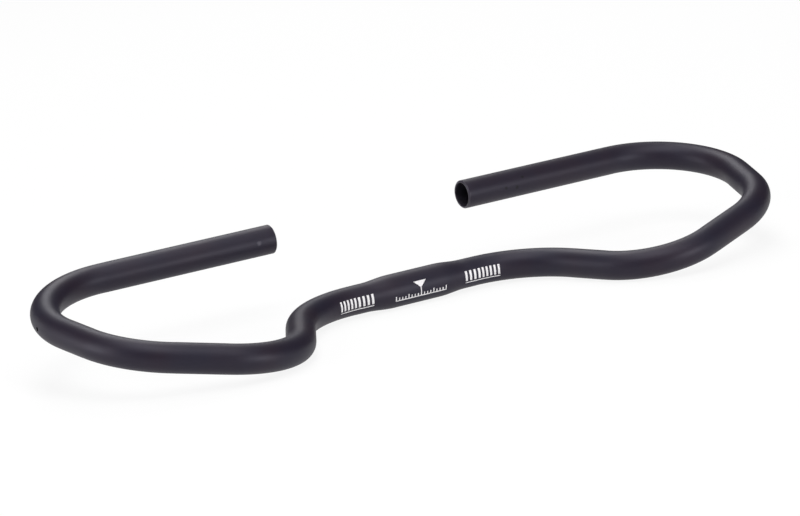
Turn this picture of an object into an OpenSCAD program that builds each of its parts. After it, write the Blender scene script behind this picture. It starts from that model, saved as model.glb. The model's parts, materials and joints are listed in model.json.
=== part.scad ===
// Trekking handlebar: one aluminium tube, bent to the outline of a butterfly.
//
// The tube is swelled to a larger diameter in the middle, where the stem clamps it. From there
// each half bends forward, turns outward, runs round a front and a rear corner, and comes back
// inward as a straight grip whose open end faces the other one across a gap.
//
// X runs along the clamp, the closed front is -Y, the grips are at +Y, and +Z is up. The origin
// is on the clamp's axis at the middle of the bar. Sizes are millimetres and degrees.

/* [Tube] */
// Outside diameter of the tube, which grips and brake levers slide onto
tube_od = 22.2; // [19:0.1:25]
// Wall of the tube
tube_wall = 1.8; // [1.6:0.1:3]
// How far the tube's surfaces draw in towards its centreline along every bend
bend_draw = 0.05; // [0.05:0.01:0.2]
// Chamfer round the outer edge of each open end
end_chamfer = 0.9; // [0.2:0.1:0.9]
// Chamfer round the inner edge of each open end
mouth_chamfer = 0.4; // [0.1:0.1:0.5]

/* [Clamp] */
// Outside diameter of the swelled middle, which the stem grips
clamp_od = 25.4; // [25.2:0.1:32]
// Length of the swelled middle at its full diameter
clamp_length = 40; // [30:1:70]
// Wall of the swelled middle, thicker than the tube's
clamp_wall = 2.4; // [1.8:0.1:3.5]
// Length of each taper, from the swelled middle down to the tube
taper_length = 23; // [10:1:40]
// Straight tube between each taper and the forward bend
centre_straight = 10; // [2:1:40]

/* [Forward bend] */
// Turn from the clamp's line towards the front
forward_turn = 62.5; // [50:0.5:75]
// Radius of the tube's centreline in the forward bend
forward_radius = 72; // [50:1:100]
// Straight tube after the forward bend
forward_straight = 31; // [5:1:60]

/* [Outward bend] */
// Roll of the tube before the outward bend, which lifts the wing's front edge
outward_roll = 10.5; // [0:0.5:20]
// Turn from the front back out to the side
outward_turn = 80; // [65:0.5:90]
// Radius of the tube's centreline in the outward bend
outward_radius = 61; // [45:1:90]
// Straight tube after the outward bend, along the wing's front edge
outward_straight = 42; // [10:1:80]

/* [Front corner] */
// Turn of the front corner, from the wing's front edge to its side
front_corner_turn = 58; // [45:0.5:70]
// Radius of the tube's centreline in the front corner
front_corner_radius = 63; // [45:1:90]
// Straight tube between the two corners, along the wing's side
side_straight = 27; // [5:1:60]

/* [Rear corner] */
// Roll of the tube before the rear corner, which lifts the grips
rear_corner_roll = 10.5; // [0:0.5:20]
// Turn of the rear corner, from the wing's side back to the middle
rear_corner_turn = 106; // [98:0.5:114]
// Radius of the tube's centreline in the rear corner
rear_corner_radius = 66; // [50:1:80]
// Straight tube of each grip, up to its open end
grip_length = 140; // [100:1:160]

/* [Vent hole] */
// Diameter of the vent hole, drilled through the outer side of one rear corner
vent_diameter = 3.2; // [2:0.1:5]
// How far round the rear corner the vent hole is, from the corner's start
vent_turn = 17.5; // [5:0.5:80]

/* [Placing] */
// Roll of the whole bar about the clamp's axis, which lays it level on its three low points
bar_roll = 1.3; // [-5:0.1:15]

/* [Hidden] */
$fn = 96;

tube_r = tube_od / 2;
bore_r = tube_r - tube_wall;
clamp_r = clamp_od / 2;
clamp_bore_r = clamp_r - clamp_wall;

clamp_half = clamp_length / 2;
centre_half = clamp_half + taper_length + centre_straight;
taper_steps = 10;
// How far the end of a bend runs into the straight tube it meets
bend_lap = 0.05;

// Order of the values in a bend
ROLL = 0;
TURN = 1;
RADIUS = 2;
STRAIGHT = 3;

// The bends of one half, from the clamp to the open end. Each has the roll of the tube before
// it, its turn, its centreline radius and the straight tube after it. A negative turn goes to
// the front.
BENDS = [
    [0, -forward_turn, forward_radius, forward_straight],
    [outward_roll, outward_turn, outward_radius, outward_straight],
    [0, front_corner_turn, front_corner_radius, side_straight],
    [rear_corner_roll, rear_corner_turn, rear_corner_radius, grip_length],
];
rear_corner = len(BENDS) - 1;

// Outline of one taper from its wide end: a half wave, so it leaves both diameters smoothly
function taper_outline(wide, narrow) = [
    for (i = [0 : taper_steps])
        let (t = i / taper_steps)
        [wide + (narrow - wide) * (1 - cos(180 * t)) / 2, clamp_half + taper_length * t]
];

// The same outline on the other side of the middle, read from its narrow end
function mirrored(outline) = [for (i = [len(outline) - 1 : -1 : 0]) [outline[i].x, -outline[i].y]];

// The swelled middle with its two tapers, for the tube's outside or for its bore
module centre_section(wide, narrow) {
    taper = taper_outline(wide, narrow);
    rotate([0, 90, 0])
        rotate_extrude()
            polygon(concat(
                [[0, -centre_half], [narrow, -centre_half]],
                mirrored(taper),
                taper,
                [[narrow, centre_half], [0, centre_half]]
            ));
}

// Moves what follows to the far end of a bend, where the tube leaves along +X
module past_bend(bend) {
    side = sign(bend[TURN]);
    rotate([bend[ROLL], 0, 0])
        translate([0, side * bend[RADIUS], 0])
            rotate([0, 0, bend[TURN]])
                translate([0, -side * bend[RADIUS], 0])
                    children();
}

// The curved stretch of a bend: a part of a ring, drawn in a little from the given tube radius
module bend_ring(bend, r) {
    side = sign(bend[TURN]);
    lap_turn = side * bend_lap / bend[RADIUS] * 180 / PI;
    rotate([bend[ROLL], 0, 0])
        translate([0, side * bend[RADIUS], 0])
            rotate([0, 0, -side * 90 - lap_turn])
                rotate_extrude(angle = bend[TURN] + 2 * lap_turn)
                    translate([bend[RADIUS], 0])
                        circle(r = r - bend_draw);
}

// The bends from number i on, each with the straight after it. What is given as a child goes to
// the open end.
module bent_tube(r, i = 0) {
    bend = BENDS[i];
    bend_ring(bend, r);
    past_bend(bend) {
        rotate([0, 90, 0])
            cylinder(h = bend[STRAIGHT], r = r);
        translate([bend[STRAIGHT], 0, 0]) {
            if (i < rear_corner)
                bent_tube(r, i + 1)
                    children();
            else
                children();
        }
    }
}

// Moves what follows to the start of bend number n, from the start of bend number i
module to_bend(n, i = 0) {
    if (i < n)
        past_bend(BENDS[i])
            translate([BENDS[i][STRAIGHT], 0, 0])
                to_bend(n, i + 1)
                    children();
    else
        children();
}

// Both halves of the bar: what is given as a child is drawn on each side of the middle
module both_sides() {
    for (side = [0, 1])
        mirror([side, 0, 0])
            translate([centre_half, 0, 0])
                children();
}

// What the chamfers take off an open end: a widened mouth and a ring round the outer edge. Both
// start inside the tube and end outside it, one chamfer's width from its surfaces.
module end_cut() {
    mouth_reach = 3 * mouth_chamfer;
    translate([-2 * mouth_chamfer, 0, 0])
        rotate([0, 90, 0])
            cylinder(h = mouth_reach, r1 = bore_r - mouth_chamfer, r2 = bore_r + 2 * mouth_chamfer);
    reach = 3 * end_chamfer;
    translate([-2 * end_chamfer, 0, 0])
        rotate([0, 90, 0])
            difference() {
                cylinder(h = reach, r = tube_r + 2 * end_chamfer);
                cylinder(h = reach, r1 = tube_r + end_chamfer, r2 = tube_r - 2 * end_chamfer);
            }
}

// The drill of the vent hole, square to the tube on the outer side of the left rear corner
module vent_drill() {
    corner = BENDS[rear_corner];
    mirror([1, 0, 0])
        translate([centre_half, 0, 0])
            to_bend(rear_corner)
                rotate([corner[ROLL], 0, 0])
                    translate([0, corner[RADIUS], 0])
                        rotate([0, 0, vent_turn])
                            translate([0, -corner[RADIUS], 0])
                                rotate([90, 0, 0])
                                    cylinder(h = 2 * tube_r, d = vent_diameter);
}

module handlebar() {
    color("#2b2930")
        rotate([bar_roll, 0, 0])
            difference() {
                union() {
                    centre_section(clamp_r, tube_r);
                    both_sides() bent_tube(tube_r);
                }
                union() {
                    centre_section(clamp_bore_r, bore_r);
                    both_sides() bent_tube(bore_r) end_cut();
                }
                vent_drill();
            }
}

handlebar();
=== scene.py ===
"""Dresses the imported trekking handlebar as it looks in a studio: a bare bar, anodised satin black.

The bar is one bent aluminium tube. Its skin is worked out here as one closed sheet: a ring is
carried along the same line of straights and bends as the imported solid, out along the outside, over
the lip of one open end, back through the bore and over the other lip. Lengths are millimetres and
angles are degrees until a mesh is written in metres.
"""
import json
import logging
import math
from dataclasses import dataclass
from enum import IntEnum

import bpy
import numpy as np
from mathutils import Matrix, Vector


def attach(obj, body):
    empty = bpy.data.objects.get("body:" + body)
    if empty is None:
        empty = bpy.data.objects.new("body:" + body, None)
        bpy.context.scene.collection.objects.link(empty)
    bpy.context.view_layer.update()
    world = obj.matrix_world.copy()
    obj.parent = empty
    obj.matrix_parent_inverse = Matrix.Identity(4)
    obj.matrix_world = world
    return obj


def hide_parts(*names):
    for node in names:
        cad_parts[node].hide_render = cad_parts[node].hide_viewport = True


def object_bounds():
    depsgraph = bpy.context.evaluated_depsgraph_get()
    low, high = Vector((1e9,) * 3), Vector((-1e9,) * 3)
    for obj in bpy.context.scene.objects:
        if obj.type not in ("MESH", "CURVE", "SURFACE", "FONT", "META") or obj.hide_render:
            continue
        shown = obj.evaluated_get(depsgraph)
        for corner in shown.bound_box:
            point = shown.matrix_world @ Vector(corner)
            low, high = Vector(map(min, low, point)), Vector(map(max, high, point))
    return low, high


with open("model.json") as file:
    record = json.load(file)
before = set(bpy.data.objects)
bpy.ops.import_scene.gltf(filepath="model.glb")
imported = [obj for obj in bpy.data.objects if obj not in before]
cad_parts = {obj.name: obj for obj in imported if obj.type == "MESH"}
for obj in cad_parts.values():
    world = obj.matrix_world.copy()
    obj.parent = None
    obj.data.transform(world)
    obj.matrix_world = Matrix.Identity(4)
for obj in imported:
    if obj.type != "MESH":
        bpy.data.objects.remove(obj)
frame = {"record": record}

LOG = logging.getLogger("handlebar")
CAD_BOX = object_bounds()
MM = 0.001
BODY = "root"
TUBE_NODE = "handlebar"

Array = np.ndarray


class Side(IntEnum):
    """The two halves of the bar, by the sign of distance along it."""

    LEFT = -1
    RIGHT = 1


class Zone(IntEnum):
    """The stretches of the tube's skin that are finished differently, by material number."""

    OUTSIDE = 0
    LIP = 1
    BORE = 2
    # The wall of the drilled vent hole, whose finish is painted shade.
    DRILLED = 3


def mount(name: str) -> dict:
    """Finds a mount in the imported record.

    Args:
        name: The mount's name.

    Returns:
        The mount's row, with its sizes under dims.
    """
    return next(row for row in frame["record"]["mounts"] if row["name"] == name)


def smooth_step(t: Array) -> Array:
    """Gives 0 up to 0 and 1 from 1, and between them three squares less two cubes."""
    t = np.clip(t, 0.0, 1.0)
    return t * t * (3.0 - 2.0 * t)


def turned(vector: Array, axis: Array, angle: Array) -> Array:
    """Turns one vector about a unit axis by each of many angles.

    The part along the axis stays. The part across it swings: its cosine share stays on itself and
    its sine share goes to the axis crossed with it.

    Args:
        vector: The vector to turn.
        axis: The unit axis.
        angle: The angles in radians, one for each result.

    Returns:
        One turned vector for each angle.
    """
    along = axis * (axis @ vector)
    across = vector - along
    swing = np.cos(angle)[:, None] * across + np.sin(angle)[:, None] * np.cross(axis, across)
    return along + swing


@dataclass(frozen=True)
class Bend:
    """One bend of a half bar and the straight tube after it.

    Attributes:
        roll: Roll of the tube before the bend, in degrees.
        turn: Turn of the bend in degrees, negative towards the front.
        radius: Radius of the centreline in the bend.
        straight: Length of the straight tube after the bend.
    """

    roll: float
    turn: float
    radius: float
    straight: float

    @property
    def arc(self) -> float:
        """Length of the centreline in the bend."""
        return math.radians(abs(self.turn)) * self.radius


@dataclass(frozen=True)
class Span:
    """A straight or an arc of the right half's centreline.

    Attributes:
        start: Distance along the bar at which the span starts.
        length: Length of the span.
        origin: Point at its start.
        axes: Unit tangent and the two section axes at its start, one a row.
        hinge: Unit axis that an arc turns about.
        turn_rate: Turn in radians for each millimetre, 0 on a straight.
    """

    start: float
    length: float
    origin: Array
    axes: Array
    hinge: Array
    turn_rate: float

    def at(self, distance: Array) -> tuple[Array, Array]:
        """Gives points and axes at distances from the span's start.

        On a straight, the point goes along the tangent. On an arc, the arm from the arc's centre
        to the start is turned about the hinge, and the axes turn with it, so the section never
        spins about the tube.

        Args:
            distance: Distances from the span's start.

        Returns:
            The points, and the three axes at each, as arrays of (n, 3) and (n, 3, 3).
        """
        angle = distance * self.turn_rate
        axes = np.stack([turned(axis, self.hinge, angle) for axis in self.axes], axis=1)
        if self.turn_rate == 0.0:
            return self.origin + distance[:, None] * self.axes[0], axes
        centre = self.origin + np.cross(self.hinge, self.axes[0]) / self.turn_rate
        return centre + turned(self.origin - centre, self.hinge, angle), axes


@dataclass(frozen=True)
class Centreline:
    """The line that the tube follows, from the middle of the clamp out to both open ends.

    Attributes:
        centre_half: Straight tube on each side of the middle, up to the first bend.
        bends: The bends of one half, from the clamp outwards.
        bar_roll: Roll of the whole bar about the clamp's axis.
    """

    centre_half: float
    bends: tuple[Bend, ...]
    bar_roll: float

    @property
    def reach(self) -> float:
        """Distance along the bar from the middle to an open end."""
        return self.bend_start(len(self.bends))

    def bend_start(self, number: int) -> float:
        """Distance along the bar from the middle to the start of a bend."""
        before = self.bends[:number]
        return self.centre_half + sum(bend.arc + bend.straight for bend in before)

    def spans(self) -> list[Span]:
        """Chains the straights and arcs of the right half, each from the far end of the last.

        Returns:
            The spans, from the clamp outwards.
        """
        roll = np.radians([self.bar_roll])
        clamp_axis = np.array([1.0, 0.0, 0.0])
        axes = np.stack([turned(row, clamp_axis, roll)[0] for row in np.eye(3)])
        hinge = axes[2]
        found = [Span(0.0, self.centre_half, np.zeros(3), axes, hinge, 0.0)]
        for bend in self.bends:
            last = found[-1]
            points, frames = last.at(np.array([last.length]))
            hinge = turned(hinge, frames[0, 0], np.radians([bend.roll]))[0]
            rate = math.copysign(1.0 / bend.radius, bend.turn)
            start = last.start + last.length
            arc = Span(start, bend.arc, points[0], frames[0], hinge, rate)
            points, frames = arc.at(np.array([bend.arc]))
            found.append(arc)
            found.append(Span(start + bend.arc, bend.straight, points[0], frames[0], hinge, 0.0))
        return found

    def at(self, distance: Array) -> tuple[Array, Array]:
        """Gives points and axes at signed distances along the bar from its middle.

        The left half is the right half mirrored in x, with its tangent turned round so that it
        still points towards growing distance, which keeps every section right-handed.

        Args:
            distance: Distances along the bar, negative on the left half.

        Returns:
            The points, and at each the tangent and the two section axes.
        """
        out = np.abs(distance)
        points = np.zeros((len(out), 3))
        axes = np.zeros((len(out), 3, 3))
        for span in self.spans():
            here = out >= span.start
            points[here], axes[here] = span.at(out[here] - span.start)
        left = distance < 0.0
        points[left, 0] *= -1.0
        axes[left, :, 0] *= -1.0
        axes[left, 0] *= -1.0
        return points, axes


@dataclass(frozen=True)
class TubeWall:
    """The tube's two surfaces, as radii from its centreline.

    Attributes:
        line: The centreline that both surfaces follow.
        tube_radius: Outside radius of the tube.
        bore_radius: Radius of the tube's bore.
        clamp_radius: Outside radius of the swelled middle.
        clamp_wall: Wall of the swelled middle.
        clamp_half: Half the length of the swelled middle at its full radius.
        taper: Length of each taper, from the swelled middle down to the tube.
        bend_draw: How far the surfaces draw in towards the centreline along a bend.
        draw_run: Length of straight tube over which they draw in.
    """

    line: Centreline
    tube_radius: float
    bore_radius: float
    clamp_radius: float
    clamp_wall: float = 2.4
    clamp_half: float = 20.0
    taper: float = 23.0
    bend_draw: float = 0.05
    draw_run: float = 3.0

    def drawn_in(self, distance: Array) -> Array:
        """Gives how far the surfaces are drawn in: fully on every bend, and by a smooth step at its
        ends, of the distance to the bend over the run.

        Args:
            distance: Distances along the bar.

        Returns:
            The draw at each distance.
        """
        out = np.abs(distance)
        share = np.zeros_like(out)
        for number, bend in enumerate(self.line.bends):
            start = self.line.bend_start(number)
            rise = (out - start) / self.draw_run + 1.0
            fall = (start + bend.arc - out) / self.draw_run + 1.0
            share = np.maximum(share, smooth_step(np.minimum(rise, fall)))
        return self.bend_draw * share

    def radius(self, distance: Array, wide: float, narrow: float) -> Array:
        """Gives a surface's radius: wide at the clamp, narrow on the tube, a half wave between.

        Args:
            distance: Distances along the bar.
            wide: Radius at the clamp.
            narrow: Radius on the tube.

        Returns:
            The radius at each distance.
        """
        t = np.clip((np.abs(distance) - self.clamp_half) / self.taper, 0.0, 1.0)
        wave = (1.0 - np.cos(np.pi * t)) / 2.0
        return wide + (narrow - wide) * wave - self.drawn_in(distance)

    def outside(self, distance: Array) -> Array:
        """Radius of the tube's outside at distances along the bar."""
        return self.radius(distance, self.clamp_radius, self.tube_radius)

    def bore(self, distance: Array) -> Array:
        """Radius of the tube's bore at distances along the bar."""
        return self.radius(distance, self.clamp_radius - self.clamp_wall, self.bore_radius)

    def place(self, distance: Array, angle: Array, radius: Array) -> Array:
        """Gives points of the wall: out from the centreline by the radius, at an angle that is
        measured from the first section axis towards the second.

        Args:
            distance: Distances along the bar.
            angle: Angles round the tube in radians.
            radius: Radii from the centreline.

        Returns:
            The points, one a row.
        """
        points, axes = self.line.at(distance)
        arm = np.cos(angle)[:, None] * axes[:, 1] + np.sin(angle)[:, None] * axes[:, 2]
        return points + radius[:, None] * arm

    def angle(self, distance: float, clock: float) -> float:
        """Gives the angle round the tube of a direction that is named as on a clock.

        The direction leans by the clock's degrees from straight up towards the front. Its shares
        on the two section axes give the angle.

        Args:
            distance: Distance along the bar.
            clock: Degrees from the top of the tube towards the front.

        Returns:
            The angle in radians.
        """
        lean = math.radians(clock)
        direction = np.array([0.0, -math.sin(lean), math.cos(lean)])
        _, axes = self.line.at(np.array([distance]))
        return math.atan2(direction @ axes[0, 2], direction @ axes[0, 1])

    def spot(self, distance: float, clock: float) -> Vector:
        """Gives a point of the outside in metres, by its distance and its place on the clock."""
        s, angle = np.array([distance]), np.array([self.angle(distance, clock)])
        return Vector(self.place(s, angle, self.outside(s))[0] * MM)


def new_object(name: str, data: bpy.types.ID) -> bpy.types.Object:
    """Puts an object into the scene.

    Args:
        name: The object's name.
        data: Its mesh, lamp or camera.

    Returns:
        The new object.
    """
    piece = bpy.data.objects.new(name, data)
    bpy.context.scene.collection.objects.link(piece)
    return piece


def new_mesh(name: str, points: Array, quads: Array) -> bpy.types.Object:
    """Puts a piece made of quads into the scene, at the origin and smooth shaded.

    Args:
        name: The piece's name.
        points: Its points in millimetres, one a row.
        quads: Its faces, four point numbers a row.

    Returns:
        The new object.
    """
    mesh = bpy.data.meshes.new(name)
    mesh.from_pydata((points * MM).tolist(), [], quads.tolist())
    mesh.polygons.foreach_set("use_smooth", np.ones(len(quads), bool))
    mesh.update()
    return new_object(name, mesh)


@dataclass(frozen=True)
class VentHole:
    """The small hole drilled square through the outer side of the left rear corner.

    Attributes:
        radius: Radius of the drill.
        turn: How far round the rear corner the hole is, in degrees.
        edge: Radius of the broken edge round the hole's mouth.
        patch_half: Half the length of the square of skin that is laid out round the hole.
        patch_steps: Rows of the skin along that square.
        patch_columns: Columns of the skin across it.
        blend_rings: Rings between the square and the hole's edge.
        edge_rings: Rings round the broken edge.
    """

    radius: float = 1.6
    turn: float = 17.5
    edge: float = 0.15
    patch_half: float = 3.0
    patch_steps: int = 8
    patch_columns: int = 8
    blend_rings: int = 3
    edge_rings: int = 3

    def distance(self, line: Centreline) -> float:
        """Distance along the bar to the hole, on its left half."""
        arc = math.radians(self.turn) * line.bends[-1].radius
        return Side.LEFT * (line.bend_start(len(line.bends) - 1) + arc)

    def angle(self, line: Centreline) -> float:
        """Gives the angle round the tube that faces away from the rear corner's centre.

        Args:
            line: The bar's centreline.

        Returns:
            The angle in radians.
        """
        arc = line.spans()[-2]
        away = np.cross(arc.axes[0], arc.hinge)
        return math.atan2(away @ arc.axes[2], away @ arc.axes[1])


@dataclass(frozen=True)
class TubeSkin:
    """The whole skin of the tube as one closed sheet of quads.

    Attributes:
        wall: The two surfaces.
        vent: The hole through them.
        chamfer: Chamfer round the outer edge of each open end.
        mouth_chamfer: Chamfer round its inner edge.
        edge: How much of each side of a lip's corner its rounding takes.
        edge_steps: Steps round a lip's corner.
        columns: Quads round the tube.
        bend_step: Spacing of the rings on the outside of bends and tapers.
        straight_step: Spacing of the rings on the outside of straights.
        bore_factor: How many times wider the rings are spaced in the bore.
        closest: Least distance from the square of skin round the vent hole to the next ring.
    """

    wall: TubeWall
    vent: VentHole
    chamfer: float = 0.9
    mouth_chamfer: float = 0.4
    edge: float = 0.14
    edge_steps: int = 4
    columns: int = 96
    bend_step: float = 2.2
    straight_step: float = 7.0
    bore_factor: float = 2.0
    closest: float = 0.55

    def stations(self, factor: float) -> Array:
        """Lists the distances along the bar at which a surface has its rings.

        Args:
            factor: How many times wider than on the outside the rings are spaced.

        Returns:
            The distances, growing, from one lip to the other.
        """
        wall, line = self.wall, self.wall.line
        flat_end = line.reach - self.chamfer - self.edge
        marks = [(0.0, self.straight_step), (wall.clamp_half, self.bend_step)]
        marks.append((wall.clamp_half + wall.taper, self.straight_step))
        for number, bend in enumerate(line.bends):
            start = line.bend_start(number)
            marks.append((start - wall.draw_run, self.bend_step))
            marks.append((start + bend.arc + wall.draw_run, self.straight_step))
        ends = [start for start, _ in marks[1:]] + [flat_end]
        runs = []
        for (start, step), end in zip(marks, ends):
            count = max(1, math.ceil((end - start) / (step * factor)))
            runs.append(np.linspace(start, end, count, endpoint=False))
        half = np.append(np.concatenate(runs), flat_end)
        whole = np.concatenate([-half[:0:-1], half])
        middle, reach = self.vent.distance(line), self.vent.patch_half
        patch = middle + np.linspace(-reach, reach, self.vent.patch_steps + 1)
        clear = np.abs(whole - middle) > reach + self.closest
        return np.sort(np.concatenate([whole[clear], patch]))

    def lip(self) -> tuple[Array, Array]:
        """Outlines the lip of the right end, from the outside over both chamfers into the bore.

        Each corner is rounded by a curve that starts on one side of it, ends on the other and
        leans on the corner itself: the squares of what is left and of what is gone weigh the two
        ends, and twice their product weighs the corner. The first and the last point of the
        outline lie on the bar's middle, and only give the two walls their direction.

        Returns:
            The distances along the bar and the radii of the lip's rings.
        """
        end = self.wall.line.reach
        tube, bore = self.wall.tube_radius, self.wall.bore_radius
        cut, mouth = self.chamfer, self.mouth_chamfer
        corners = np.array([
            [0.0, tube],
            [end - cut, tube],
            [end, tube - cut],
            [end, bore + mouth],
            [end - mouth, bore],
            [0.0, bore],
        ])
        sides = np.diff(corners, axis=0)
        sides /= np.linalg.norm(sides, axis=1)[:, None]
        t = np.linspace(0.0, 1.0, self.edge_steps + 1)[None, :, None]
        turn = corners[1:-1, None]
        start = turn - self.edge * sides[:-1, None]
        finish = turn + self.edge * sides[1:, None]
        rounded = (1.0 - t) ** 2 * start + 2.0 * t * (1.0 - t) * turn + t**2 * finish
        outline = rounded.reshape(-1, 2)[1:-1]
        return outline[:, 0], outline[:, 1]

    def rows(self) -> tuple[Array, Array, Array]:
        """Lists the sheet's rows: out along the outside, over the right lip, back through the bore
        and over the left lip.

        Returns:
            Their distances along the bar, their radii, and the zone from each to the next.
        """
        outer, inner = self.stations(1.0), self.stations(self.bore_factor)[::-1]
        lip, lip_radius = self.lip()
        distance = np.concatenate([outer, lip, inner, -lip[::-1]])
        radius = np.concatenate([
            self.wall.outside(outer), lip_radius, self.wall.bore(inner), lip_radius[::-1],
        ])
        zone = np.repeat(
            [Zone.OUTSIDE, Zone.LIP, Zone.BORE, Zone.LIP],
            [len(outer) - 1, len(lip) + 1, len(inner) - 1, len(lip) + 1],
        )
        return distance, radius, zone

    def build(self) -> bpy.types.Object:
        """Makes the tube's mesh.

        Row by column, the sheet's point is the wall's place at the row's distance and radius and
        at the column's angle. The rows close on themselves, and the columns close round the tube.
        A square is taken out on the outside and in the bore, and rings lead from one square
        through the vent hole to the other.

        Returns:
            The tube, with its zones as material numbers and its skin laid out as a map.
        """
        rows, radii, zones = self.rows()
        columns = self.columns
        phase = self.vent.angle(self.wall.line) - np.pi
        angles = phase + 2.0 * np.pi * np.arange(columns) / columns
        distance, angle = np.repeat(rows, columns), np.tile(angles, len(rows))
        points = self.wall.place(distance, angle, np.repeat(radii, columns))
        grid = np.arange(len(points)).reshape(-1, columns)
        following = np.roll(grid, -1, axis=0)
        quads = np.stack([
            grid, np.roll(grid, -1, axis=1), np.roll(following, -1, axis=1), following,
        ], axis=-1)
        zones = np.broadcast_to(zones[:, None], grid.shape)

        outer_loop, inner_loop, kept = self.vent_squares(rows)
        rings, ring_distance, ring_angle = self.vent_rings(outer_loop, distance, angle)
        ring_points = np.arange(len(rings)).reshape(-1, len(outer_loop)) + len(points)
        chain = np.vstack([outer_loop, ring_points, inner_loop])
        after = np.roll(chain, -1, axis=1)
        vent_quads = np.stack([chain[:-1], after[:-1], after[1:], chain[1:]], axis=-1)
        # The hole's broken edge and wall take the near black finish that paints the shade inside the
        # hole.
        vent_zones = np.repeat(
            [Zone.OUTSIDE, Zone.DRILLED, Zone.BORE],
            np.array([self.vent.blend_rings + 1, self.vent.edge_rings, self.vent.blend_rings])
            * len(outer_loop),
        )

        faces = np.vstack([quads[kept], vent_quads.reshape(-1, 4)])
        tube = new_mesh("handlebar_tube", np.vstack([points, rings]), faces)
        face_zones = np.concatenate([zones[kept], vent_zones])
        tube.data.polygons.foreach_set("material_index", face_zones.astype(np.int32))
        distance = np.concatenate([distance, ring_distance])
        self.lay_out(tube, distance, np.concatenate([angle, ring_angle]), faces)
        return tube

    def vent_squares(self, rows: Array) -> tuple[Array, Array, Array]:
        """Finds the two squares of the sheet that make room for the vent hole.

        Args:
            rows: The distances along the bar of the sheet's rows.

        Returns:
            The point numbers once round the outer square, those round the inner one in the same
            order, and which quads of the sheet stay, by row and column.
        """
        vent, columns = self.vent, self.columns
        steps, wide = vent.patch_steps, vent.patch_columns
        middle = vent.distance(self.wall.line)
        outer_row = int(np.argmin(np.abs(rows - (middle - vent.patch_half))))
        back_rows = int(np.argmin(np.abs(rows[::-1] - (middle + vent.patch_half))))
        inner_row = len(rows) - 1 - back_rows
        first = (columns - wide) // 2
        kept = np.ones((len(rows), columns), bool)
        for row in (outer_row, inner_row):
            kept[row:row + steps, first:first + wide] = False
        # Once round a square: along its first row, up its far side, back along its last and down.
        up, across = np.arange(steps), np.arange(wide)
        row = np.concatenate([0 * across, up, 0 * across + steps, steps - up])
        column = first + np.concatenate([across, 0 * up + wide, wide - across, 0 * up])
        outer_loop = (outer_row + row) * columns + column
        inner_loop = (inner_row + steps - row) * columns + column
        return outer_loop, inner_loop, kept

    def vent_rings(self, loop: Array, distance: Array, angle: Array) -> tuple[Array, Array, Array]:
        """Lays the rings that lead from the outer square through the hole to the inner one.

        Seen along the drill, a ring's point is a mix of the square's point and of the point of
        the hole's circle in the same direction. It is set on a surface where the drill's line
        meets that surface: the angle round the tube is the arc sine of its offset over the radius,
        and the angle round the bend is the arc sine of its distance over the bend's radius there.
        Over the broken edge, the circle narrows as a quarter turn's sine grows and sinks by what
        its cosine lacks.

        Args:
            loop: Point numbers of the outer square, in order.
            distance: The sheet's distances along the bar.
            angle: The sheet's angles round the tube.

        Returns:
            The rings' points, their distances along the bar and their angles round the tube.
        """
        vent, wall, line = self.vent, self.wall, self.wall.line
        middle, facing = vent.distance(line), vent.angle(line)
        bend = line.bends[-1].radius
        tube = float(wall.outside(np.array([middle]))[0])
        bore = float(wall.bore(np.array([middle]))[0])
        leaning = angle[loop] - facing
        across = tube * np.sin(leaning)
        along = (bend + tube * np.cos(leaning)) * np.sin((distance[loop] - middle) / bend)
        direction = np.arctan2(across, along)
        square = np.stack([along, across])
        circle = np.stack([np.cos(direction), np.sin(direction)])
        mouth = vent.radius + vent.edge

        share = np.arange(1, vent.blend_rings + 1)[:, None, None] / vent.blend_rings
        narrowing = square * (1.0 - share) + mouth * circle * share
        quarter = np.pi / 2.0 * np.arange(1, vent.edge_rings + 1)[:, None, None] / vent.edge_rings
        edge_circle = (mouth - vent.edge * np.sin(quarter)) * circle
        widening = square * share[:-1] + vent.radius * circle * (1.0 - share[:-1])
        offsets = np.concatenate([narrowing, edge_circle, vent.radius * circle[None], widening])
        sunk = np.concatenate([
            np.zeros(vent.blend_rings), vent.edge * (1.0 - np.cos(quarter.ravel())),
            np.zeros(vent.blend_rings),
        ])
        outer_rings = vent.blend_rings + vent.edge_rings
        radius = np.where(np.arange(len(offsets)) < outer_rings, tube, bore)[:, None]
        lean = np.arcsin(offsets[:, 1] / radius)
        ring_distance = middle + bend * np.arcsin(offsets[:, 0] / (bend + radius * np.cos(lean)))
        ring_angle = facing + lean
        flat = np.broadcast_to(radius, lean.shape).ravel()
        points = wall.place(ring_distance.ravel(), ring_angle.ravel(), flat)
        _, axes = line.at(np.array([middle]))
        outward = math.cos(facing) * axes[0, 1] + math.sin(facing) * axes[0, 2]
        points -= np.repeat(sunk, len(loop))[:, None] * outward
        return points, ring_distance.ravel(), ring_angle.ravel()

    def lay_out(self, tube: bpy.types.Object, distance: Array, angle: Array, faces: Array) -> None:
        """Maps the skin flat in metres: along the bar one way and round the tube the other.

        Args:
            tube: The tube.
            distance: Distance along the bar of each point.
            angle: Angle round the tube of each point.
            faces: The tube's quads.
        """
        round_tube = angle[faces]
        wrapped = round_tube.max(axis=1, keepdims=True) - round_tube > np.pi
        round_tube = (round_tube + 2.0 * np.pi * wrapped) * self.wall.tube_radius
        flat = np.stack([distance[faces], round_tube], axis=-1) * MM
        tube.data.uv_layers.new(name="skin").data.foreach_set("uv", flat.ravel())


@dataclass(frozen=True)
class Mark:
    """One printed mark: a patch of ink that follows the tube, between two edges along the bar.

    Attributes:
        middle: Distance along the bar of the mark's middle.
        drop: Distance round the tube from the middle of the print down to the mark's middle.
        upper: Length of its upper edge.
        lower: Length of its lower edge.
        height: Its size round the tube.
    """

    middle: float
    drop: float
    upper: float
    lower: float
    height: float


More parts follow.
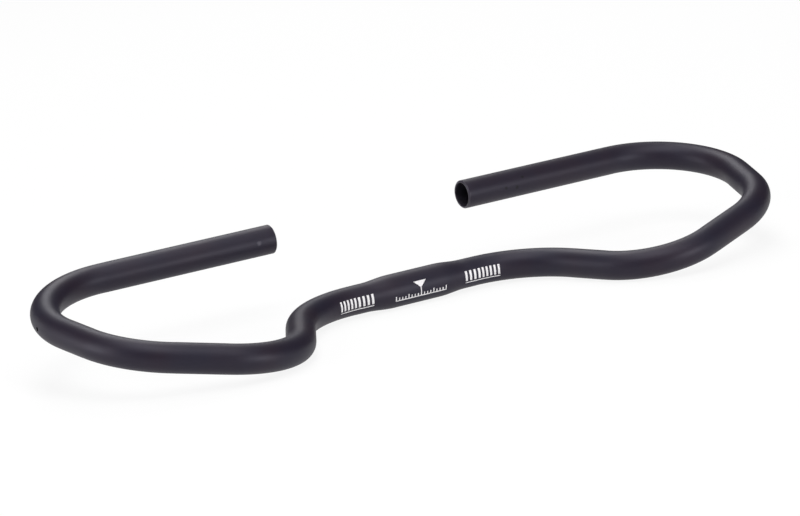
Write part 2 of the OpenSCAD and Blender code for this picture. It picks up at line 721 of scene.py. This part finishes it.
@dataclass(frozen=True)
class CentringMarks:
    """The white graduations on the swelled middle, which the stem is centred and turned by.

    A ruler with a pointer stands in the middle. On each side of it, a row of bold ticks over a thin
    line runs from the taper on to the first bend.

    Attributes:
        wall: The wall that they are printed on.
        ink: Thickness of the ink.
        clock: Place of the print's middle on the tube's clock, in degrees.
        height: Size of the print round the tube.
        line: Thickness of the ruler's lines.
        ruler_ticks: Ticks on each side of the middle line.
        ruler_pitch: Distance between ticks.
        tick: Height of a short tick.
        long_tick: Height of a long tick.
        long_every: Ticks from one long tick to the next.
        pointer: Width and height of the pointer over the middle line.
        scale_ticks: Ticks of each side scale.
        scale_pitch: Distance between them.
        scale_tick: Width and height of each.
        scale_gap: Bare skin between them and the line below.
        scale_end: Distance from the bar's middle to the outer end of each side scale.
        steps: Quads along each side of a mark.
    """

    wall: TubeWall
    ink: float = 0.03
    clock: float = 89.0
    height: float = 12.4
    line: float = 0.8
    ruler_ticks: int = 8
    ruler_pitch: float = 2.7
    tick: float = 2.2
    long_tick: float = 3.4
    long_every: int = 4
    pointer: tuple[float, float] = (11.0, 5.0)
    scale_ticks: int = 9
    scale_pitch: float = 3.8
    scale_tick: tuple[float, float] = (1.9, 9.0)
    scale_gap: float = 1.2
    scale_end: float = 72.0
    steps: int = 8

    def ruler(self) -> list[Mark]:
        """Lists the marks of the ruler: the base line, pointer, middle line and ticks.

        Returns:
            The marks.
        """
        base = self.height / 2.0 - self.line
        length = 2.0 * self.ruler_ticks * self.ruler_pitch + self.line
        wide, tall = self.pointer
        tip = tall - self.height / 2.0
        found = [Mark(0.0, base + self.line / 2.0, length, length, self.line)]
        found.append(Mark(0.0, tip - tall / 2.0, wide, self.line, tall))
        found.append(Mark(0.0, (tip + base) / 2.0, self.line, self.line, base - tip))
        for side in Side:
            for number in range(1, self.ruler_ticks + 1):
                tick = self.tick if number % self.long_every else self.long_tick
                at = side * number * self.ruler_pitch
                found.append(Mark(at, base - tick / 2.0, self.line, self.line, tick))
        return found

    def side_scale(self, side: Side) -> list[Mark]:
        """Lists the marks of one side scale: the line, and the ticks that stand clear above it.

        Args:
            side: The half of the bar that it stands on.

        Returns:
            The marks.
        """
        width, tall = self.scale_tick
        drop = (self.height - tall) / 2.0 - self.line - self.scale_gap
        length = (self.scale_ticks - 1) * self.scale_pitch + width
        middle = side * (self.scale_end - length / 2.0)
        found = [Mark(middle, (self.height - self.line) / 2.0, length, length, self.line)]
        for number in range(self.scale_ticks):
            at = side * (self.scale_end - width / 2.0 - number * self.scale_pitch)
            found.append(Mark(at, drop, width, width, tall))
        return found

    def build(self) -> bpy.types.Object:
        """Makes all marks as one piece. Each is a slab over two parameters, one along the bar and
        one round the tube. Its outer face lies a film of ink above the wall, its inner face as far
        below, and its rim joins them.

        Returns:
            The printed piece.
        """
        side = self.steps + 1
        layer = side * side
        grid = np.arange(layer).reshape(side, side)
        outer = np.stack([grid[:-1, :-1], grid[:-1, 1:], grid[1:, 1:], grid[1:, :-1]], axis=-1)
        outer = outer.reshape(-1, 4)
        inner = outer[:, ::-1] + layer
        rim = np.concatenate([grid[0, :-1], grid[:-1, -1], grid[-1, :0:-1], grid[:0:-1, 0]])
        after = np.roll(rim, -1)
        edge = np.stack([rim, rim + layer, after + layer, after], axis=-1)
        slab = np.vstack([outer, edge, inner])
        share = np.linspace(-0.5, 0.5, side)
        along, down = np.repeat(share, side), np.tile(share, side)

        marks = self.ruler() + self.side_scale(Side.LEFT) + self.side_scale(Side.RIGHT)
        points, quads = [], []
        for number, mark in enumerate(marks):
            length = mark.upper + (mark.lower - mark.upper) * (down + 0.5)
            distance = mark.middle + along * length
            radius = self.wall.outside(distance)
            middle = self.wall.angle(mark.middle, self.clock)
            angle = middle + (mark.drop + down * mark.height) / self.wall.clamp_radius
            points.append(self.wall.place(distance, angle, radius + self.ink))
            points.append(self.wall.place(distance, angle, radius - self.ink))
            quads.append(slab + 2 * layer * number)
        return new_mesh("centring_marks", np.vstack(points), np.vstack(quads))


def linear(hex_colour: str) -> tuple[float, float, float, float]:
    """Turns an sRGB hex colour into Blender's linear one.

    Args:
        hex_colour: The colour, as #rrggbb.

    Returns:
        Its linear red, green and blue, and full alpha.
    """
    parts = np.array([int(hex_colour[i:i + 2], 16) for i in (1, 3, 5)]) / 255.0
    low, high = parts / 12.92, ((parts + 0.055) / 1.055) ** 2.4
    red, green, blue = np.where(parts <= 0.04045, low, high)
    return float(red), float(green), float(blue), 1.0


def emptied(owner: bpy.types.Material | bpy.types.World) -> bpy.types.NodeTree:
    """Switches the nodes of a material or a world on and empties its tree.

    Args:
        owner: The material or the world.

    Returns:
        Its empty tree.
    """
    owner.use_nodes = True
    owner.node_tree.nodes.clear()
    return owner.node_tree


def add_node(
    tree: bpy.types.NodeTree, kind: str, inputs: dict, **settings: object,
) -> bpy.types.Node:
    """Adds one node, sets its properties and feeds its inputs.

    Args:
        tree: The node tree.
        kind: The node's type.
        inputs: What goes into its sockets, by name or number: a socket to link or a value.
        **settings: The node's own properties.

    Returns:
        The node.
    """
    node = tree.nodes.new(kind)
    for name, value in settings.items():
        setattr(node, name, value)
    for name, value in inputs.items():
        if isinstance(value, bpy.types.NodeSocket):
            tree.links.new(value, node.inputs[name])
        else:
            node.inputs[name].default_value = value
    return node


@dataclass(frozen=True)
class Finish:
    """A finish of the bar: one shader, which each kind of finish feeds in its own way.

    Attributes:
        name: The material's name, which says what it is and how it was made.
    """

    name: str

    def sockets(self, tree: bpy.types.NodeTree) -> dict:
        """Adds the nodes of the finish, up to its shader.

        Args:
            tree: The material's tree.

        Returns:
            What the shader's sockets are fed, by name: a socket to link or a value.
        """
        raise NotImplementedError

    def build(self) -> bpy.types.Material:
        """Makes the material.

        Returns:
            The new material.
        """
        material = bpy.data.materials.new(self.name)
        tree = emptied(material)
        shader = add_node(tree, "ShaderNodeBsdfPrincipled", self.sockets(tree))
        add_node(tree, "ShaderNodeOutputMaterial", {"Surface": shader.outputs["BSDF"]})
        return material


@dataclass(frozen=True)
class Wear:
    """A worn spot of the skin.

    Attributes:
        distance: Its distance along the bar.
        clock: Its place on the tube's clock, in degrees from the top towards the front.
        size: Its radius.
    """

    distance: float
    clock: float
    size: float


@dataclass(frozen=True)
class BlackAnodising(Finish):
    """Aluminium that was bead-blasted and then anodised and dyed black.

    The blasted grain gives a satin skin with broad, soft highlights. The oxide is full of pores,
    which scatter most of what a polished film would mirror, so its specular level is low. The dye
    is a violet black that is a little redder in some places and bluer in others.

    Attributes:
        wall: The wall that it covers, which places the worn spots.
        film: Colour of the dyed film.
        film_bluer: Its colour where the dye has turned bluer.
        specular: Specular level of the porous film.
        specular_tint: Tint of what it mirrors.
        roughness: Roughness of the blasted skin.
        roughness_spread: How much it varies from place to place.
        grain: Size of the blasted grain. Real grit leaves dimples of 0.1 mm, which are too fine
            to show, so it is drawn this coarse.
        grain_depth: Depth of the grain.
        cloud: Size of the dye's uneven patches.
        cloud_levels: Levels of their noise at which the dye is at its reddest and its bluest.
        scuffs: Spots on the right grip that have been rubbed darker and duller.
        scuffed: Colour of the scuffs.
        scuffed_roughness: Roughness of the scuffs.
        chips: Spots on the left grip where the film is chipped.
        chipped: Colour of the chips.
        worn_core: Share of a worn spot's radius that is fully worn.
        ragged: Size of the unevenness of its rim.
        ragged_by: How far that pushes the rim about.
    """

    wall: TubeWall
    film: str = "#1f1722"
    film_bluer: str = "#1a1724"
    specular: float = 0.34
    specular_tint: str = "#f0eeff"
    roughness: float = 0.5
    roughness_spread: float = 0.04
    grain: float = 0.7
    grain_depth: float = 0.012
    cloud: float = 38.0
    cloud_levels: tuple[float, float] = (0.35, 0.65)
    scuffs: tuple[Wear, ...] = (
        Wear(608.2, 90.0, 1.9),
        Wear(598.2, 97.0, 2.5),
        Wear(591.7, 61.0, 1.8),
    )
    scuffed: str = "#121013"
    scuffed_roughness: float = 0.62
    chips: tuple[Wear, ...] = (Wear(-627.7, 83.0, 2.4),)
    chipped: str = "#434049"
    worn_core: float = 0.3
    ragged: float = 1.5
    ragged_by: float = 1.6

    def worn(
        self, tree: bpy.types.NodeTree, place: bpy.types.NodeSocket, spots: tuple[Wear, ...],
    ) -> bpy.types.NodeSocket:
        """Adds what is 1 in the middle of worn spots and fades to 0 at their radius.

        Args:
            tree: The material's tree.
            place: The place that is shaded, in metres.
            spots: The worn spots.

        Returns:
            The socket that gives it.
        """
        ragged = add_node(tree, "ShaderNodeTexNoise", {
            "Vector": place, "Scale": 1.0 / (self.ragged * MM), "Detail": 2.0,
        }).outputs["Color"]
        pushed = add_node(tree, "ShaderNodeVectorMath", {
            0: ragged, 1: (self.ragged_by * MM,) * 3, 2: place,
        }, operation="MULTIPLY_ADD").outputs[0]
        centred = add_node(tree, "ShaderNodeVectorMath", {
            0: pushed, 1: (self.ragged_by / 2.0 * MM,) * 3,
        }, operation="SUBTRACT").outputs[0]
        masks = []
        for spot in spots:
            away = add_node(tree, "ShaderNodeVectorMath", {
                0: centred, 1: self.wall.spot(spot.distance, spot.clock),
            }, operation="DISTANCE").outputs["Value"]
            masks.append(add_node(tree, "ShaderNodeMapRange", {
                "Value": away, "From Min": self.worn_core * spot.size * MM,
                "From Max": spot.size * MM, "To Min": 1.0, "To Max": 0.0,
            }, interpolation_type="SMOOTHSTEP").outputs["Result"])
        found = masks[0]
        for mask in masks[1:]:
            found = add_node(tree, "ShaderNodeMath", {
                0: found, 1: mask,
            }, operation="MAXIMUM").outputs[0]
        return found

    def sockets(self, tree: bpy.types.NodeTree) -> dict:
        """Mixes the clouds of dye and the worn spots, and lays the blasted grain as a bump.

        Args:
            tree: The material's tree.

        Returns:
            What the shader's sockets are fed, by name.
        """
        place = add_node(tree, "ShaderNodeTexCoord", {}).outputs["Object"]
        scuffs = self.worn(tree, place, self.scuffs)
        chips = self.worn(tree, place, self.chips)
        clouds = add_node(tree, "ShaderNodeTexNoise", {
            "Vector": place, "Scale": 1.0 / (self.cloud * MM), "Detail": 3.0,
        }).outputs["Fac"]
        low, high = self.cloud_levels
        bluer = add_node(tree, "ShaderNodeMapRange", {
            "Value": clouds, "From Min": low, "From Max": high,
        }).outputs["Result"]
        colour = linear(self.film)
        layers = ((bluer, self.film_bluer), (scuffs, self.scuffed), (chips, self.chipped))
        for share, layer in layers:
            colour = add_node(tree, "ShaderNodeMix", {
                "Factor": share, "A": colour, "B": linear(layer),
            }, data_type="RGBA").outputs["Result"]
        grain = add_node(tree, "ShaderNodeTexNoise", {
            "Vector": place, "Scale": 1.0 / (self.grain * MM), "Detail": 2.0,
        }).outputs["Fac"]
        rough = add_node(tree, "ShaderNodeMapRange", {
            "Value": clouds, "To Min": self.roughness - self.roughness_spread,
            "To Max": self.roughness + self.roughness_spread,
        }).outputs["Result"]
        rough = add_node(tree, "ShaderNodeMix", {
            "Factor": scuffs, "A": rough, "B": self.scuffed_roughness,
        }).outputs["Result"]
        bump = add_node(tree, "ShaderNodeBump", {
            "Height": grain, "Distance": self.grain_depth * MM, "Strength": 1.0,
        }).outputs["Normal"]
        return {
            "Base Color": colour, "Roughness": rough, "Normal": bump,
            "Specular IOR Level": self.specular, "Specular Tint": linear(self.specular_tint),
        }


@dataclass(frozen=True)
class MottledFinish(Finish):
    """A finish too fine to show a grain, whose colour and gloss drift a little from place to place.

    Attributes:
        colours: The two colours that it drifts between.
        roughness: The two roughnesses that it drifts between.
        patch: Size of the patches.
        specular: Specular level.
    """

    colours: tuple[str, str]
    roughness: tuple[float, float]
    patch: float
    specular: float = 0.5

    def sockets(self, tree: bpy.types.NodeTree) -> dict:
        """Lets one noise drift the colour and the roughness.

        Args:
            tree: The material's tree.

        Returns:
            What the shader's sockets are fed, by name.
        """
        place = add_node(tree, "ShaderNodeTexCoord", {}).outputs["Object"]
        drift = add_node(tree, "ShaderNodeTexNoise", {
            "Vector": place, "Scale": 1.0 / (self.patch * MM), "Detail": 2.0,
        }).outputs["Fac"]
        first, second = (linear(colour) for colour in self.colours)
        mixed = add_node(tree, "ShaderNodeMix", {
            "Factor": drift, "A": first, "B": second,
        }, data_type="RGBA").outputs["Result"]
        low, high = self.roughness
        rough = add_node(tree, "ShaderNodeMapRange", {
            "Value": drift, "To Min": low, "To Max": high,
        }).outputs["Result"]
        return {
            "Base Color": mixed, "Roughness": rough, "Specular IOR Level": self.specular,
        }


# Turned after the blasting and then anodised, so the lip is smoother than the skin. It catches the
# light as a thin pale ring: partly from its lower roughness, and partly a painted highlight, as its
# colours are paler than the film's.
TURNED_LIP_PAINTED_HIGHLIGHT = MottledFinish(
    name="turned_black_anodised_aluminium",
    colours=("#2b272d", "#342f3f"),
    roughness=(0.33, 0.39),
    patch=6.0,
)
# Painted shade: the drilled hole's wall is given a near black, barely glossy finish so that the hole
# looks black, as its inside lies in shadow.
HOLE_PAINTED_SHADE = MottledFinish(
    name="drilled_black_anodised_aluminium",
    colours=("#010102", "#030304"),
    roughness=(0.65, 0.75),
    patch=1.0,
    specular=0.1,
)
# White two-part ink, pad-printed and baked: flat, slightly chalky, and a little thinner in places,
# where the black below greys it.
PAD_PRINT = MottledFinish(
    name="white_pad_print",
    colours=("#ebe9eb", "#d9d7d9"),
    roughness=(0.45, 0.55),
    patch=2.0,
)


@dataclass(frozen=True)
class DrawnBore(Finish):
    """The inside of the tube, as it was drawn over a mandrel and then dyed with the rest.

    Drawing leaves fine streaks along the tube, which show as faint lines in the dark mouth.

    Attributes:
        dark: Colour between the streaks.
        pale: Colour of the streaks.
        roughness: Roughness of the drawn metal.
        streak_width: Width of a streak round the tube.
        streak_length: Length of a streak along it.
    """

    dark: str = "#18151e"
    pale: str = "#33303b"
    roughness: float = 0.5
    streak_width: float = 1.2
    streak_length: float = 60.0

    def sockets(self, tree: bpy.types.NodeTree) -> dict:
        """Stretches a noise along the skin's map into streaks.

        Args:
            tree: The material's tree.

        Returns:
            What the shader's sockets are fed, by name.
        """
        skin = add_node(tree, "ShaderNodeUVMap", {}, uv_map="skin").outputs["UV"]
        stretched = add_node(tree, "ShaderNodeMapping", {
            "Vector": skin,
            "Scale": (1.0 / (self.streak_length * MM), 1.0 / (self.streak_width * MM), 1.0),
        }).outputs["Vector"]
        streaks = add_node(tree, "ShaderNodeTexNoise", {"Vector": stretched, "Scale": 1.0})
        colour = add_node(tree, "ShaderNodeMix", {
            "Factor": streaks.outputs["Fac"], "A": linear(self.dark), "B": linear(self.pale),
        }, data_type="RGBA").outputs["Result"]
        return {"Base Color": colour, "Roughness": self.roughness}


@dataclass(frozen=True)
class Handlebar:
    """The bar: its sizes, and the pieces that stand for it.

    Attributes:
        line: The centreline. Its bends are the forward bend, the outward bend, the front corner
            and the rear corner, and its roll lays the bar on its low points.
    """

    line: Centreline = Centreline(
        centre_half=53.0,
        bends=(
            Bend(roll=0.0, turn=-62.5, radius=72.0, straight=31.0),
            Bend(roll=10.5, turn=80.0, radius=61.0, straight=42.0),
            Bend(roll=0.0, turn=58.0, radius=63.0, straight=27.0),
            Bend(roll=10.5, turn=106.0, radius=66.0, straight=140.0),
        ),
        bar_roll=1.3,
    )

    def wall(self) -> TubeWall:
        """Takes the tube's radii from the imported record's mounts."""
        names = ("grip_seat_right", "end_bore_right", "stem_clamp")
        return TubeWall(self.line, *(mount(name)["dims"]["r_mm"] for name in names))

    def build(self) -> list[bpy.types.Object]:
        """Builds and dresses the tube and its print.

        Returns:
            The pieces.
        """
        wall = self.wall()
        tube = TubeSkin(wall, VentHole()).build()
        outside = BlackAnodising("bead_blasted_black_anodised_aluminium", wall)
        bore = DrawnBore("drawn_black_anodised_aluminium")
        for finish in (outside, TURNED_LIP_PAINTED_HIGHLIGHT, bore, HOLE_PAINTED_SHADE):
            tube.data.materials.append(finish.build())
        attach(tube, BODY)
        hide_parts(TUBE_NODE)
        marks = CentringMarks(wall).build()
        marks.data.materials.append(PAD_PRINT.build())
        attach(marks, BODY)
        return [tube, marks]


@dataclass(frozen=True)
class Softbox:
    """One soft lamp of the studio, aimed at the bar.

    Attributes:
        name: What the lamp is.
        azimuth: Its direction from the bar, from the front towards the right, in degrees.
        elevation: Its height above the horizon, in degrees.
        distance: Its distance from the bar, in metres.
        width: Its width in metres.
        height: Its height in metres.
        radiance: How bright its face is, where 1 is white.
    """

    name: str
    azimuth: float
    elevation: float
    distance: float
    width: float
    height: float
    radiance: float

    def build(self) -> bpy.types.Object:
        """Makes the lamp. An area lamp's power is its radiance times its area and pi.

        Returns:
            The lamp, aimed at the bar.
        """
        lamp = bpy.data.lights.new(self.name, "AREA")
        lamp.shape = "RECTANGLE"
        lamp.size, lamp.size_y = self.width, self.height
        lamp.energy = self.radiance * math.pi * self.width * self.height
        piece = new_object(self.name, lamp)
        turn, rise = math.radians(self.azimuth), math.radians(self.elevation)
        level = math.cos(rise)
        out = Vector((math.sin(turn) * level, -math.cos(turn) * level, math.sin(rise)))
        piece.location = out * self.distance
        piece.rotation_euler = out.to_track_quat("Z", "Y").to_euler()
        return piece


@dataclass(frozen=True)
class Studio:
    """The plain white studio: floor, surroundings, lamps and camera.

    Attributes:
        lamps: The soft lamps.
        floor_colour: Colour of the floor.
        floor_glow: How much of the floor's white is its own, which leaves the bar a faint shadow.
        floor_size: Side of the floor in metres.
        surround: Grey of the room's far walls, as the bar sees them.
        azimuth: Direction that the camera looks in, from +y towards +x, in degrees.
        elevation: How steeply the camera looks down, in degrees.
        roll: Roll of the camera about its line of sight, in degrees.
        depth: Distance along the line of sight to the bar's origin, in millimetres.
        picture: Width and height of the picture, in pixels.
        origin_at: Where the bar's origin falls in the picture, in pixels.
        focal: Focal length in pixels.
        sensor: Width of the camera's sensor, in millimetres.
        clip: Nearest and furthest distance that the camera sees, in metres.
    """

    lamps: tuple[Softbox, ...] = (
        Softbox("overhead_softbox", 0.0, 82.0, 2.4, 1.2, 2.3, 3.9),
        Softbox("high_back_softbox", 157.0, 46.0, 2.4, 0.9, 1.6, 4.75),
        Softbox("high_front_softbox", 10.0, 46.0, 2.5, 1.0, 0.9, 2.8),
        Softbox("high_left_softbox", 309.0, 62.0, 2.4, 0.9, 0.9, 3.15),
        Softbox("left_fill_softbox", 270.0, 28.0, 2.5, 1.0, 0.8, 4.55),
        Softbox("right_key_lamp", 23.0, 7.0, 2.5, 0.75, 0.75, 15.7),
        Softbox("left_key_lamp", 263.0, 6.5, 2.5, 0.95, 0.7, 11.5),
        Softbox("back_fill_softbox", 214.0, 8.0, 2.5, 1.0, 0.6, 2.15),
    )
    floor_colour: str = "#f3f3f3"
    floor_glow: float = 0.88
    floor_size: float = 14.0
    surround: str = "#494849"
    azimuth: float = 28.055
    elevation: float = 13.515
    roll: float = -6.355
    depth: float = 2672.224
    picture: tuple[int, int] = (800, 516)
    origin_at: tuple[float, float] = (412.948, 285.86)
    focal: float = 3553.974
    sensor: float = 36.0
    clip: tuple[float, float] = (0.05, 50.0)

    def build(self) -> None:
        """Sets up the floor, the room, the lamps, the camera and the plain view."""
        self.build_floor()
        self.build_world()
        for lamp in self.lamps:
            LOG.info("lamp %s", lamp.build().name)
        self.build_camera()
        bpy.context.scene.view_settings.view_transform = "Standard"

    def seen_plainly(self, tree: bpy.types.NodeTree) -> bpy.types.NodeSocket:
        """Adds what is 1 for the camera's rays and for those that gloss or glass sends on.

        Args:
            tree: The tree to add it to.

        Returns:
            The socket that gives it.
        """
        path = add_node(tree, "ShaderNodeLightPath", {})
        seen = path.outputs["Is Camera Ray"]
        for ray in ("Is Glossy Ray", "Is Transmission Ray"):
            seen = add_node(tree, "ShaderNodeMath", {
                0: seen, 1: path.outputs[ray],
            }, operation="MAXIMUM").outputs[0]
        return seen

    def build_floor(self) -> None:
        """Lays the pale floor at the height that the bar rests on, white where it is seen."""
        half = self.floor_size / 2.0 / MM
        level = CAD_BOX[0].z / MM
        corners = np.array([[-half, -half], [half, -half], [half, half], [-half, half]])
        points = np.column_stack([corners, np.full(len(corners), level)])
        floor = new_mesh("studio_floor", points, np.array([[0, 1, 2, 3]]))
        material = bpy.data.materials.new("pale_studio_paper")
        tree = emptied(material)
        paper = add_node(tree, "ShaderNodeBsdfDiffuse", {"Color": linear(self.floor_colour)})
        white = add_node(tree, "ShaderNodeEmission", {"Strength": 1.0})
        share = add_node(tree, "ShaderNodeMath", {
            0: self.seen_plainly(tree), 1: self.floor_glow,
        }, operation="MULTIPLY").outputs[0]
        mixed = add_node(tree, "ShaderNodeMixShader", {
            0: share, 1: paper.outputs[0], 2: white.outputs[0],
        })
        add_node(tree, "ShaderNodeOutputMaterial", {"Surface": mixed.outputs[0]})
        floor.data.materials.append(material)

    def build_world(self) -> None:
        """Makes the room around the floor, a plain grey that the bar is lit by and mirrors."""
        world = bpy.data.worlds.new("studio_room")
        tree = emptied(world)
        room = add_node(tree, "ShaderNodeBackground", {"Color": linear(self.surround)})
        add_node(tree, "ShaderNodeOutputWorld", {"Surface": room.outputs[0]})
        bpy.context.scene.world = world

    def build_camera(self) -> None:
        """Stands the camera where the bar's origin falls on its pixel, at the given depth.

        The line of sight and the picture's two axes come from the azimuth and the elevation, and
        the axes are then rolled. The camera is the depth back along the line of sight, less the
        origin's offset in the picture times the depth over the focal length.
        """
        turn, dip, roll = (math.radians(a) for a in (self.azimuth, self.elevation, self.roll))
        level = math.cos(dip)
        sight = Vector((math.sin(turn) * level, math.cos(turn) * level, -math.sin(dip)))
        flat_right = Vector((math.cos(turn), -math.sin(turn), 0.0))
        flat_up = flat_right.cross(sight)
        right = math.cos(roll) * flat_right + math.sin(roll) * flat_up
        up = math.cos(roll) * flat_up - math.sin(roll) * flat_right
        width, height = self.picture
        across = (self.origin_at[0] - width / 2.0) / self.focal
        down = (self.origin_at[1] - height / 2.0) / self.focal
        place = -(sight + across * right - down * up) * self.depth * MM

        camera = bpy.data.cameras.new("studio_camera")
        camera.sensor_width = self.sensor
        camera.lens = self.focal / width * self.sensor
        camera.clip_start, camera.clip_end = self.clip
        piece = new_object("studio_camera", camera)
        turned_to = Matrix((right, up, -sight)).transposed()
        piece.matrix_world = Matrix.Translation(place) @ turned_to.to_4x4()
        bpy.context.scene.camera = piece


def main() -> None:
    """Builds the studio and the bar."""
    logging.basicConfig(level=logging.INFO, format="%(name)s: %(message)s")
    Studio().build()
    for piece in Handlebar().build():
        mesh = piece.data
        counts = len(mesh.vertices), len(mesh.polygons)
        LOG.info("piece %s: %d points, %d faces", piece.name, *counts)


if __name__ == "__main__":
    main()
